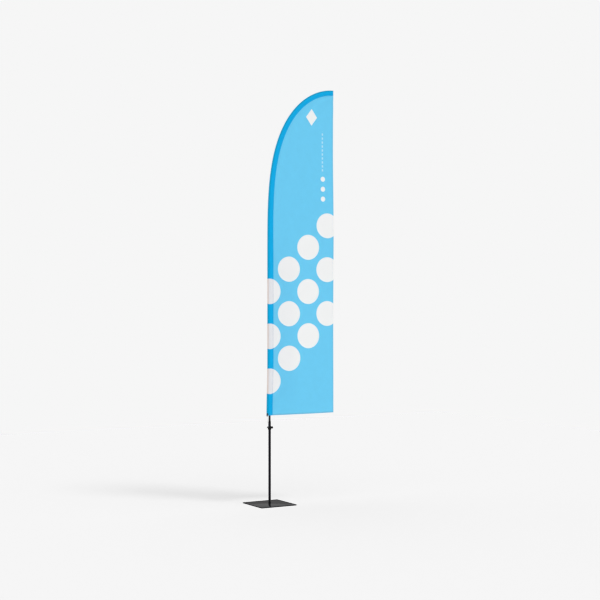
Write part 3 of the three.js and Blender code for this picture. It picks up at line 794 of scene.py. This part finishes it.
def sleeve_half(share, s):
    """Across and depth of one layer of the sleeve, from its fold at 0 to the seam at 1."""
    round_part = pole_outside(s) + sleeve_slack - cloth_thickness / 2
    fold = -(fold_offset - fold_inset) + tail_shift(s)
    seam = seam_offset(s)
    band = seam - seam_allowance
    at_fold = math.pi - math.acos(round_part / -fold)
    at_band = math.acos(min(1.0, round_part / band))
    corners = [
        (0.0, fold, 0.0),
        (0.035, fold + 0.0003, 0.0005),
        (0.08, fold + 0.0012, 0.0008),
        (round_start, round_part * math.cos(at_fold), round_part * math.sin(at_fold)),
        (round_end, round_part * math.cos(at_band), round_part * math.sin(at_band)),
        (0.87, band, seam_half),
        (1.0, seam, seam_half),
    ]
    if round_start < share < round_end:
        angle = at_fold + (at_band - at_fold) * (share - round_start) / (round_end - round_start)
        return round_part * math.cos(angle), round_part * math.sin(angle)
    for (low, x0, y0), (high, x1, y1) in zip(corners, corners[1:]):
        if share <= high:
            part = (share - low) / (high - low)
            return x0 + (x1 - x0) * part, y0 + (y1 - y0) * part
    return seam, seam_half


tab_inner = -0.0165
nip_half = 0.0004
nip_top = 0.919
closing = 0.008
closed_half = 0.0006


def sleeve_point(share, side, s, proud=0.0):
    """A point on the sleeve: side is 1 on the back layer and -1 on the front one."""
    across, depth = sleeve_half(share, s)
    # The corner tab nips the two layers together.
    nip = nip_half + 0.9 * max(0.0, across - tab_inner) + 0.4 * max(0.0, s - nip_top)
    depth = min(depth, nip)
    # The far end is drawn together over the pole's tip.
    left = (flag_end - s) / closing
    if left < 1:
        depth = max(min(depth, closed_half), depth * math.sqrt(max(0.0, 1 - (1 - left) ** 2)))
    # Small puckers where the cloth goes round the bend, and along both edges.
    loose_part = math.sin(math.pi * min(1.0, share / 0.9))
    ripple = noise.noise(Vector((s * 38, side * 3 + across * 20, 2.0)))
    slow = noise.noise(Vector((s * 9, side * 5 + across * 12, 7.0)))
    free = min(1.0, max(0.0, depth - 0.001) / 0.004)
    lift = (0.00035 * ripple + 0.0005 * slow) * loose_part * free
    point = beside_pole(s, across)
    point.y = side * (depth + proud + max(lift, -0.0006))
    return point


def folded_cloth(columns, rows, start, end, proud=0.0, reach=1.0):
    """Cloth folded over the sleeve's outer edge, from seam to seam or part of the way."""

    def place(u, v):
        side = 1 if u < 0.5 else -1
        return sleeve_point(abs(1 - 2 * u) * reach, side, start + (end - start) * v, proud)

    return laid_out(columns, rows, place)


def thickened(thing, thickness):
    """Gives a sheet its wall, half of it on each side."""
    wall = thing.modifiers.new("cloth", "SOLIDIFY")
    wall.thickness = thickness
    wall.offset = 0.0
    wall.use_even_offset = False


def drill(centre, radius, depth, segments):
    """A round bar along Y, to cut a hole with."""
    bm = bmesh.new()
    bmesh.ops.create_cone(
        bm,
        cap_ends=True,
        segments=segments,
        radius1=radius,
        radius2=radius,
        depth=depth,
        matrix=Matrix.Translation(centre) @ Matrix.Rotation(math.pi / 2, 4, "X"),
    )
    return bm


eyelet_centre = Vector((-0.026, 0, 0.896))
sleeve = loose(folded_cloth(52, 330, flag_bottom, flag_end))
thickened(sleeve, cloth_thickness)
punch = drill(eyelet_centre, radius=0.0041, depth=0.006, segments=24)
shell = combined(settled(sleeve), [punch], "DIFFERENCE")
sleeve = made("sleeve_cloth_folded", shell, sleeve_cloth, "mast", crease=50)
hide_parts("flag_sleeve")

# ---- Sleeve end ----
# The far end of the sleeve is closed and takes the push of the pole's tip, so a second layer of
# cloth is sewn over its last 50 mm.

patch_length = 0.05
patch_proud = 0.00055
patch_reach = 0.97
patch_end = flag_end + 0.0002
patch = folded_cloth(44, 24, flag_end - patch_length, patch_end, patch_proud, patch_reach)
patch = made("sleeve_end_pocket", patch, sleeve_cloth, "mast", crease=50)
thickened(patch, cloth_thickness)
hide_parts("sleeve_end_patch")

# ---- Panel ----
# The flag's sail, cut to the bent pole's curve on one side and straight on the other two. It
# hangs almost flat, with soft waves beside the sleeve and a slight belly at the bottom.

seam_tuck = 0.007
panel_width = free_edge - 0.034
held_width = 0.09
belly_depth = 0.016
belly_reach = 0.55
seam_wave = 0.005
seam_wave_pitch = 0.21
seam_wave_reach = 0.2
long_wave_depth = 0.006
long_wave_pitch = 1.9
edge_curl = 0.007
edge_curl_pitch = 2.6
pull_depth = 0.0024
pull_folds = 11
pull_reach = 0.45
ripple_depth = 0.0016
calm_top = 4.19
calm_height = 0.25


def swell(x, z, from_seam):
    """How far the cloth stands off the flag's plane; the decorated front is towards -Y."""
    share = min(1.0, max(0.0, from_seam / panel_width))
    held = min(1.0, max(0.0, from_seam / held_width)) ** 2
    above = max(0.0, z - flag_bottom)
    belly = -belly_depth * math.sin(math.pi * min(1.0, share * 0.9)) * math.exp(-above / belly_reach)
    seam_turns = 2 * math.pi * from_seam / seam_wave_pitch
    beside_seam = seam_wave * math.sin(seam_turns) * math.exp(-from_seam / seam_wave_reach)
    long_turns = 2 * math.pi * (z / long_wave_pitch + 0.18 * share)
    long_wave = long_wave_depth * share * math.sin(long_turns)
    curl = edge_curl * share**3 * math.cos(2 * math.pi * (z - 1.0) / edge_curl_pitch)
    angle = math.atan2(above + 0.012, x + 0.04)
    fading = math.exp(-math.hypot(x, above) / pull_reach)
    pull = pull_depth * math.sin(pull_folds * angle + 0.6) * fading
    ripple = ripple_depth * noise.noise(Vector((x * 5.5, z * 2.2, 4.0)))
    top = min(1.0, max(0.0, (calm_top - z) / calm_height))
    return held * (belly + beside_seam + (long_wave + curl) * top + pull + ripple)


def panel_place(u, v):
    """A point on the panel: from under the seam at u = 0 to the free edge at u = 1."""
    s = flag_bottom + (flag_end - flag_bottom) * v
    start = beside_pole(s, seam_offset(s) - seam_tuck)
    x = free_edge + (start.x - free_edge) * (1 - u) ** 1.15
    return Vector((x, swell(x, start.z, x - start.x - seam_tuck), start.z))


def on_panel(x, z, depth):
    """A point a little in front of the panel or behind it, at any place across and up."""
    low, high = flag_bottom, flag_end
    while high - low > 0.0001:
        s = (low + high) / 2
        start = beside_pole(s, seam_offset(s) - seam_tuck)
        if start.z < z:
            low = s
        else:
            high = s
    return Vector((x, swell(x, z, x - start.x - seam_tuck) + depth, z))


panel = laid_out(72, 300, panel_place, wrapped=True)
panel = made("panel_cloth_sail", panel, panel_cloth, "mast", crease=50)
thickened(panel, cloth_thickness)
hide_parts("flag_panel")

# ---- Hems ----
# The free edge and the bottom are turned over once to the back and lockstitched. The fold runs
# along the cloth's edge, and the cut end lies flat against the back.

hem_gap = 0.0005
hem_clear = 0.00006
hem_round = 0.0002
hem_top = 4.17
fold_share = 0.3


def hem_turn(u):
    """How far in from the cloth's edge a hem lies, and how far behind the panel's middle."""
    round_fold = min(1.0, u / fold_share)
    turned_back = max(0.0, u - fold_share) / (1 - fold_share)
    inward = hem_width * turned_back - hem_round * math.sin(math.pi * round_fold)
    return inward, hem_gap * round_fold + hem_clear


def side_hem(u, v):
    """Round the free edge, and then flat against the panel's back."""
    inward, depth = hem_turn(u)
    z = flag_bottom + 0.0003 + (hem_top - flag_bottom) * v
    return on_panel(free_edge - inward, z, depth)


def bottom_hem(u, v):
    """Under the lower edge, from the seam to where the side hem starts."""
    inward, depth = hem_turn(u)
    start = seam_offset(flag_bottom) + 0.001
    x = start + (free_edge - hem_width - 0.001 - start) * v
    return on_panel(x, flag_bottom + inward, depth)


for name, place, rows in (("side_hem", side_hem, 280), ("bottom_hem", bottom_hem, 70)):
    hem = made(name, laid_out(8, rows, place), panel_cloth, "mast", crease=60)
    thickened(hem, 0.0003)

# ---- Sewing thread ----
# Blue polyester thread: twin needle rows along the sleeve's seam and a single row on each hem,
# in stitches of 5 mm.

thread = Finish("sewing_thread", roughness=0.55, sheen_weight=0.2)
twist_x, _, twist_z = thread.place.axes()
ply = (twist_z + twist_x).wave(0.0009)
# Painted shade: the thread is painted lighter on its plies and darker in the grooves between them.
thread.drive("Base Color", ply.blend(tone(30, 128, 186), tone(70, 172, 224)))
thread.emboss(ply, 0.0001, 0.6)

stitch_pitch = 0.005
stitch_length = 0.0038
stitch_half = 0.00026
stitch_size = (stitch_half, stitch_half, stitch_length / 2)
one_stitch = bmesh.new()
bmesh.ops.create_uvsphere(one_stitch, u_segments=6, v_segments=4, radius=1)
bmesh.ops.scale(one_stitch, vec=stitch_size, verts=one_stitch.verts)
one_stitch = loose(one_stitch)


def sewn(name, rows):
    """Rows of stitches. Each row is a line of points that are close to each other."""
    bm = bmesh.new()
    for line in rows:
        left = stitch_pitch / 2
        for a, b in zip(line, line[1:]):
            run = b - a
            while left <= run.length:
                turn = Vector((0, 0, 1)).rotation_difference(run)
                place = Matrix.Translation(a + run.normalized() * left) @ turn.to_matrix().to_4x4()
                stitch = one_stitch.data.copy()
                stitch.transform(place)
                bm.from_mesh(stitch)
                bpy.data.meshes.remove(stitch)
                left += stitch_pitch
            left -= run.length
    return made(name, bm, thread, "mast", crease=80)


row_margin = 0.004
row_steps = 240
thread_clear = 0.0001
seam_insets = (0.002, 0.0065)


def seam_row(inset, side):
    """A row of needle holes along the sleeve's seam, on one side of the flag."""
    row = []
    for i in range(row_steps + 1):
        s = flag_bottom + row_margin + (flag_end - flag_bottom - 3 * row_margin) * i / row_steps
        point = beside_pole(s, seam_offset(s) - inset)
        point.y = side * (seam_half + cloth_thickness / 2 + thread_clear)
        row.append(point)
    return row


seam_rows = [seam_row(inset, side) for inset in seam_insets for side in (1, -1)]
seam_stitches = sewn("seam_stitches", seam_rows)

hem_inset = hem_width - 0.002
side_low = flag_bottom + row_margin
side_rise = 4.16 - side_low
foot_start = seam_offset(flag_bottom) + row_margin
foot_run = free_edge - foot_start - row_margin
foot_steps = 80
hem_rows = []
for depth in (-cloth_thickness / 2 - thread_clear, hem_gap + 0.00025):
    side_row = []
    for i in range(row_steps + 1):
        side_row.append(on_panel(free_edge - hem_inset, side_low + side_rise * i / row_steps, depth))
    foot_row = []
    for i in range(foot_steps + 1):
        across = foot_start + foot_run * i / foot_steps
        foot_row.append(on_panel(across, flag_bottom + hem_inset, depth))
    hem_rows += [side_row, foot_row]
hem_stitches = sewn("hem_stitches", hem_rows)
bpy.data.objects.remove(one_stitch)

# ---- Corner tab and eyelet ----
# A loop of black polypropylene webbing sewn over the sleeve's lower corner and hanging 8 mm below
# it, with a blackened brass eyelet pressed through for the elastic cord.

tab_left = -0.034
tab_right = -0.018
tab_bottom = 0.885
tab_top = 0.915
tab_layer = 0.001
tab_half = 0.001
turn_share = 0.2

webbing = Finish("black_webbing", roughness=0.85, sheen_weight=0.25)
web_x, _, web_z = webbing.place.axes()
cords_across = web_x.wave(0.0017)
picks = (web_z + cords_across * 0.0004).wave(0.0011)
# Painted shade: the webbing is painted darker in the hollows of its weave and lighter where cords
# and picks stand up together.
webbing.drive("Base Color", (cords_across * picks).blend(tone(18, 18, 20), tone(46, 46, 49)))
webbing.emboss(cords_across + picks * 0.6, 0.0003, 0.8)


def tab_place(u, v):
    """Up the front, under the corner and up the back; u runs along the webbing."""
    x = tab_left + (tab_right - tab_left) * v
    bottom = tab_bottom + tab_half
    along = abs(1 - 2 * u)
    side = -1 if u < 0.5 else 1
    if along > turn_share:
        rise = (tab_top - bottom) * (along - turn_share) / (1 - turn_share)
        return Vector((x, side * tab_half, bottom + rise))
    angle = along / turn_share * math.pi / 2
    return Vector((x, side * tab_half * math.sin(angle), bottom - tab_half * math.cos(angle)))


tab = loose(laid_out(60, 10, tab_place))
thickened(tab, tab_layer)
punch = drill(eyelet_centre, radius=0.00395, depth=0.01, segments=32)
shell = combined(settled(tab), [punch], "DIFFERENCE")
tab = made("corner_tab_webbing", shell, webbing, "mast", crease=50)
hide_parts("corner_tab")

eyelet_bore = 0.0026
eyelet_flange = 0.0052
eyelet_barrel = 0.0038
eyelet = turned(
    [
        (eyelet_bore, -0.0020),
        (eyelet_bore + 0.0003, -0.00232),
        (eyelet_bore + 0.0007, -0.00235),
        (eyelet_flange - 0.0005, -0.00215),
        (eyelet_flange, -0.00175),
        (eyelet_flange - 0.0002, -0.00165),
        (eyelet_barrel, -0.00165),
        (eyelet_barrel, 0.00165),
        (eyelet_flange - 0.0002, 0.00165),
        (eyelet_flange, 0.00175),
        (eyelet_flange - 0.0005, 0.00215),
        (eyelet_bore + 0.0007, 0.00235),
        (eyelet_bore + 0.0003, 0.00232),
        (eyelet_bore, 0.0020),
    ],
    segments=40,
)
quarter = Matrix.Rotation(math.pi / 2, 3, "X")
bmesh.ops.rotate(eyelet, cent=(0, 0, 0), matrix=quarter, verts=eyelet.verts)
bmesh.ops.translate(eyelet, vec=eyelet_centre, verts=eyelet.verts)
blackened = Finish("blackened_brass", metallic=0.6, roughness=0.4, specular_ior_level=0.2)
scuffs = blackened.place.cloud(1100, 4, 0.6)
blackened.drive("Base Color", scuffs.step(0.6, 0.75).blend(tone(26, 25, 24), tone(110, 92, 60)))
blackened.drive("Roughness", scuffs * 0.2 + 0.25)
eyelet = made("corner_eyelet_pressed", eyelet, blackened, "mast", crease=40)
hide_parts("corner_eyelet")

# ---- Clamp collar ----
# A moulded nylon collar that slides on the pole. It has a boss with a brass insert for the thumb
# screw, and a lug on the other side with a hole for the elastic cord.

collar_bottom = 0.752
collar_top = 0.782
collar_bore = 0.0102
collar_radius = 0.015
collar_edge = 0.0015
screw_height = 0.771
boss_radius = 0.0065
boss_end = 0.019
boss_length = 0.0072
boss_chamfer = 0.0006
lug_end = -0.023
lug_root = -0.0122
lug_half = 0.003
lug_rise = 0.0065
lug_hole = Vector((-0.0188, 0, 0.774))
cord_hole_radius = 0.0022
insert_hole_radius = 0.0043
insert_hole_start = 0.01235
screw_hole_radius = 0.0028
screw_hole_start = 0.004
grip_round = 0.0004
rib_first = 0.0024
rib_spacing = 0.0016


def along_screw(bm, start):
    """Lays a shape made up the Z axis along the thumb screw, from its distance start."""
    quarter = Matrix.Rotation(math.pi / 2, 3, "Y")
    bmesh.ops.rotate(bm, cent=(0, 0, 0), matrix=quarter, verts=bm.verts)
    bmesh.ops.translate(bm, vec=(start, 0, screw_height), verts=bm.verts)
    return bm


def bar(radius, length, segments):
    """A plain round bar up the Z axis."""
    return turned([(0, 0), (radius, 0), (radius, length), (0, length)], segments)


groove_radius = collar_radius - grip_round
profile = [
    (collar_bore, collar_bottom + grip_round),
    (collar_bore + grip_round, collar_bottom),
    (collar_radius - collar_edge, collar_bottom),
    (groove_radius, collar_bottom + 0.0006),
    (collar_radius, collar_bottom + collar_edge),
]
for rib in range(3):
    low = collar_bottom + rib_first + rib_spacing * rib
    profile += [(collar_radius, low), (groove_radius, low + 0.0003)]
    profile += [(groove_radius, low + 0.0008), (collar_radius, low + 0.0011)]
profile += [
    (collar_radius, collar_top - collar_edge),
    (groove_radius, collar_top - 0.0006),
    (collar_radius - collar_edge, collar_top),
    (collar_bore + grip_round, collar_top),
    (collar_bore, collar_top - grip_round),
]
ring = turned(profile, 72)
boss = [
    (0, 0),
    (boss_radius, 0),
    (boss_radius, boss_length - boss_chamfer),
    (boss_radius - boss_chamfer, boss_length),
    (0, boss_length),
]
boss = along_screw(turned(boss, 40), boss_end - boss_length)
bmesh.ops.dissolve_limit(boss, angle_limit=0.01, verts=boss.verts, edges=boss.edges)
lug_bottom = lug_hole.z - lug_rise
lug = block((lug_end, -lug_half, lug_bottom), (lug_root, lug_half, lug_hole.z + lug_rise))
outer = []
for edge in lug.edges:
    one, other = (v.co for v in edge.verts)
    if max(one.x, other.x) < -0.02 and abs(one.y - other.y) > 0.001:
        outer.append(edge)
bmesh.ops.bevel(lug, geom=outer, offset=0.004, segments=6, affect="EDGES", profile=0.5, material=-1)
rims = [e for e in lug.edges if abs(e.calc_face_angle(0)) > math.radians(60)]
bmesh.ops.bevel(lug, geom=rims, offset=0.0006, segments=2, affect="EDGES", profile=0.5, material=-1)
bore = bar(collar_bore, collar_top - collar_bottom + 0.01, 72)
bmesh.ops.translate(bore, vec=(0, 0, collar_bottom - 0.005), verts=bore.verts)
insert_hole = along_screw(bar(insert_hole_radius, 0.01, 32), insert_hole_start)
screw_hole = along_screw(bar(screw_hole_radius, 0.02, 32), screw_hole_start)
cord_hole = drill(lug_hole, radius=cord_hole_radius, depth=0.02, segments=32)
body = combined(ring, [boss, lug], "UNION")
body = combined(body, [bore, insert_hole, screw_hole, cord_hole], "DIFFERENCE")
collar = made("clamp_collar_moulded", body, plastic, "collar", crease=30)
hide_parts("clamp_collar")

brass = Finish("brass_insert", metallic=1.0, roughness=0.3)
knurl = brass.place.cloud(1800, 2)
brass.drive("Base Color", knurl.blend(tone(150, 122, 66), tone(208, 178, 104)))
brass.emboss(knurl, 0.0001, 0.5)
refinished(brass, "clamp_insert")

# ---- Thumb screw ----
# A lobed nylon knob moulded round a zinc-plated M5 stud. It presses on the pole and holds the
# collar where the cord is tight.

knob_start = 0.02
knob_length = 0.014
knob_radius = 0.0082
knob_lobe = 0.0007
knob_lobes = 6
knob_bore_radius = 0.00265
knob_bore_depth = 0.01
knob = bmesh.new()
bmesh.ops.create_circle(knob, cap_ends=True, segments=96, radius=knob_radius)
for vert in knob.verts:
    angle = math.atan2(vert.co.y, vert.co.x)
    vert.co *= 1 + knob_lobe / knob_radius * math.cos(knob_lobes * angle)
end = knob.faces[:]
for inset, rise in ((0.0, 0.0008), (0.0, knob_length - 0.0022), (0.0004, 0.0008), (0.0008, 0.0006)):
    if inset:
        bmesh.ops.inset_region(knob, faces=end, thickness=inset, depth=0)
    else:
        rim = list({e for f in end for e in f.edges})
        raised = bmesh.ops.extrude_face_region(knob, geom=end + rim)["geom"]
        end = [item for item in raised if isinstance(item, bmesh.types.BMFace)]
    bmesh.ops.translate(knob, vec=(0, 0, rise), verts=list({v for f in end for v in f.verts}))
bmesh.ops.inset_region(knob, faces=end, thickness=0.0012, depth=0)
bmesh.ops.inset_region(knob, faces=end, thickness=0.0003, depth=-0.0006)
knob_bore = bar(knob_bore_radius, knob_bore_depth + 0.001, 32)
bmesh.ops.translate(knob_bore, vec=(0, 0, -0.001), verts=knob_bore.verts)
bmesh.ops.recalc_face_normals(knob, faces=knob.faces)
knob = along_screw(combined(knob, [knob_bore], "DIFFERENCE"), knob_start)
knob = made("thumb_knob_moulded", knob, plastic, "thumb_screw", crease=30)
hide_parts("thumb_knob")

threaded = Finish("threaded_zinc_steel", metallic=1.0, roughness=0.3)
thread_pitch = 0.0008
threaded.emboss(threaded.place.axes()[0].wave(thread_pitch), 0.0003, 0.8)
dulled = threaded.place.cloud(600, 3)
threaded.drive("Base Color", dulled.blend(tone(140, 142, 146), tone(198, 200, 203)))
refinished(threaded, "thumb_stud")

# ---- Floor and light ----
# A pale seamless floor that only shows the flag's soft shadow, one large soft lamp from the right
# of the front, and a surround that is dim at the horizon, bright overhead and plain pale grey
# behind the flag.

floor_half = 8
floor = bmesh.new()
bmesh.ops.create_grid(floor, x_segments=1, y_segments=1, size=floor_half)
floor = loose(floor, "floor")
floor.is_shadow_catcher = True
paper = Finish("floor_paper", roughness=0.9)
paper.drive("Base Color", paper.place.cloud(0.6, 2).blend(tone(236, 236, 236), tone(238, 238, 238)))
floor.data.materials.append(paper.material)

light = bpy.data.lights.new("soft_light", "SUN")
light.energy = 0.6
light.angle = math.radians(14)
lamp = bpy.data.objects.new("soft_light", light)
lamp.rotation_euler = Vector((-0.35, 0.5, -1)).to_track_quat("-Z", "Y").to_euler()
scene.collection.objects.link(lamp)

surround = bpy.data.worlds.new("surround")
scene.world = surround
surround.use_nodes = True
studio = surround.node_tree
path = Signal(studio, studio.nodes.new("ShaderNodeLightPath").outputs["Is Camera Ray"])
direction = Signal(studio, studio.nodes.new("ShaderNodeTexCoord").outputs["Generated"])
height = direction.axes()[2]
horizon_light = (0.15, 0.15, 0.15, 1)
overhead_light = (1.62, 1.62, 1.62, 1)
floor_light = (1.0, 1.0, 1.0, 1)
ceiling = height.step(0.0, 1.0).blend(horizon_light, overhead_light)
around = height.step(0.0, -0.02).blend(ceiling, floor_light)
backdrop = path.blend(around, tone(246, 246, 246))
studio.links.new(backdrop.socket, studio.nodes["Background"].inputs["Color"])
scene.view_settings.view_transform = "Standard"
